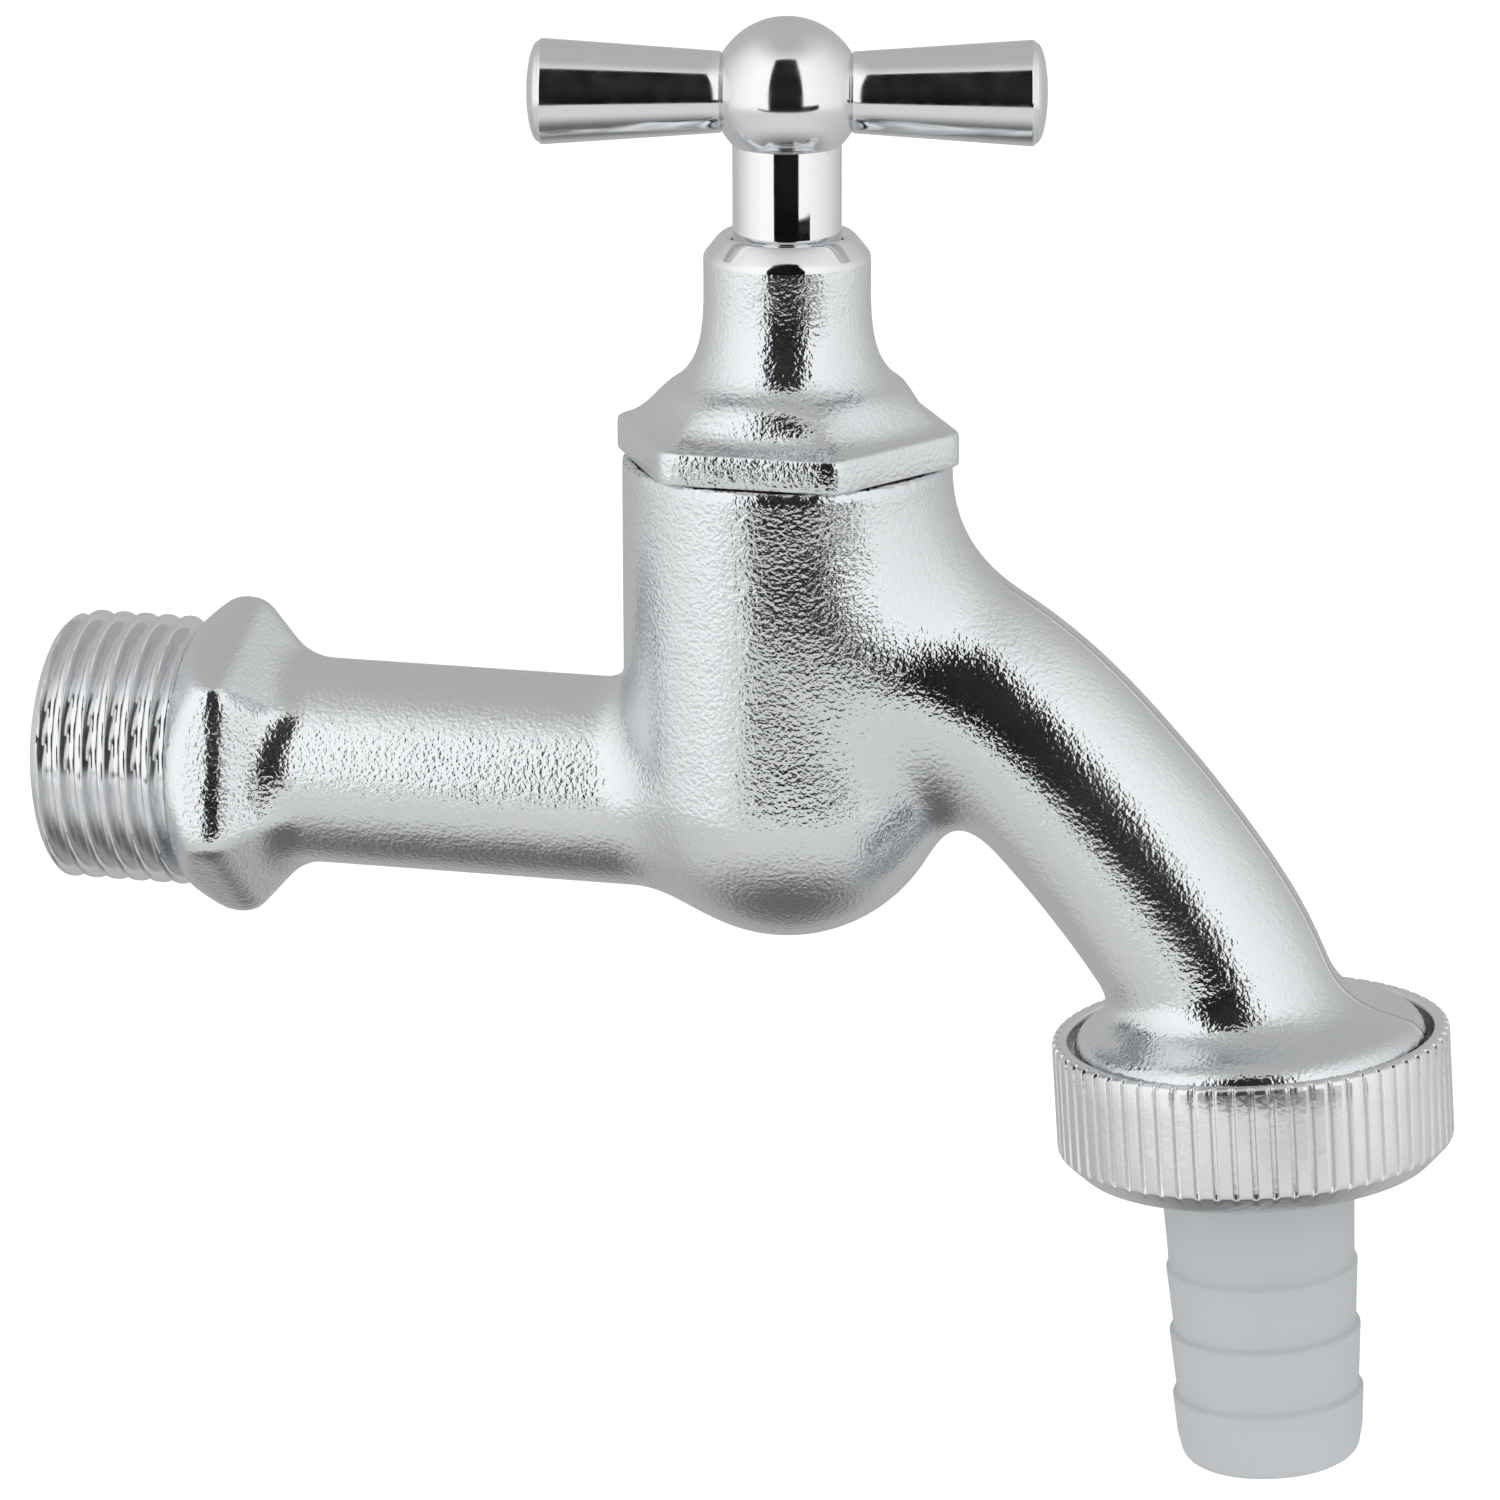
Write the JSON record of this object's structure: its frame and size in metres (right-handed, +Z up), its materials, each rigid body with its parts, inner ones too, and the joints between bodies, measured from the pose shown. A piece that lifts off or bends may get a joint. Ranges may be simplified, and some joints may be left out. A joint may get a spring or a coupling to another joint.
{
  "type": "hose bib",
  "caption": "Wall tap with a threaded inlet, T-handle screw valve, curved spout and a barbed hose tail held by a union nut.",
  "frame": {"origin": "on the inlet axis, in the plane where the inlet thread meets its hex collar", "axes": "+X from the inlet towards the spout, +Z up along the spindle"},
  "size_m": [0.1099, 0.0302, 0.1106],
  "materials": {
    "cast_chrome": "satin, fine orange peel",
    "polished_chrome": "polished",
    "nut_chrome": "bright",
    "brass": "turned",
    "black_steel": "blackened",
    "rubber": "matte",
    "fibre": "matte",
    "grey_plastic": "matte"
  },
  "bodies": {
    "valve": {"valve_body": "cast_chrome", "bonnet": "cast_chrome", "bonnet_gasket": "fibre"},
    "jumper": {"jumper": "brass", "valve_washer": "rubber", "washer_nut": "brass"},
    "spindle": {"spindle": "polished_chrome", "spindle_o_ring_lower": "rubber", "spindle_o_ring_upper": "rubber", "handle_hub": "polished_chrome", "handle_arm_right": "polished_chrome", "handle_arm_left": "polished_chrome", "hub_grub_screw": "black_steel"},
    "tail": {"hose_tail": "grey_plastic", "tail_gasket": "rubber"},
    "nut": {"union_nut": "nut_chrome"}
  },
  "joints": [
    {"name": "valve_lift", "type": "slide", "parent": "valve", "child": "jumper", "axis": [0, 0, 1], "range_m": [0, 0.0055]},
    {"name": "handle_turn", "type": "hinge", "parent": "jumper", "child": "spindle", "pos_m": [0.047, 0, 0.05429], "axis": [0, 0, 1], "range_deg": [0, 991]},
    {"name": "tail_slide", "type": "slide", "parent": "valve", "child": "tail", "axis": [0.0645, 0, -0.9979], "range_m": [0, 0.00453]},
    {"name": "nut_turn", "type": "hinge", "parent": "tail", "child": "nut", "pos_m": [0.08325, 0, -0.0162], "axis": [0.0645, 0, -0.9979], "range_deg": [0, 901]}
  ],
  "couplings": [
    {"joint": "handle_turn", "follows": "valve_lift", "rad_per_m": 3141.6},
    {"joint": "nut_turn", "follows": "tail_slide", "rad_per_m": 3463.7}
  ]
}
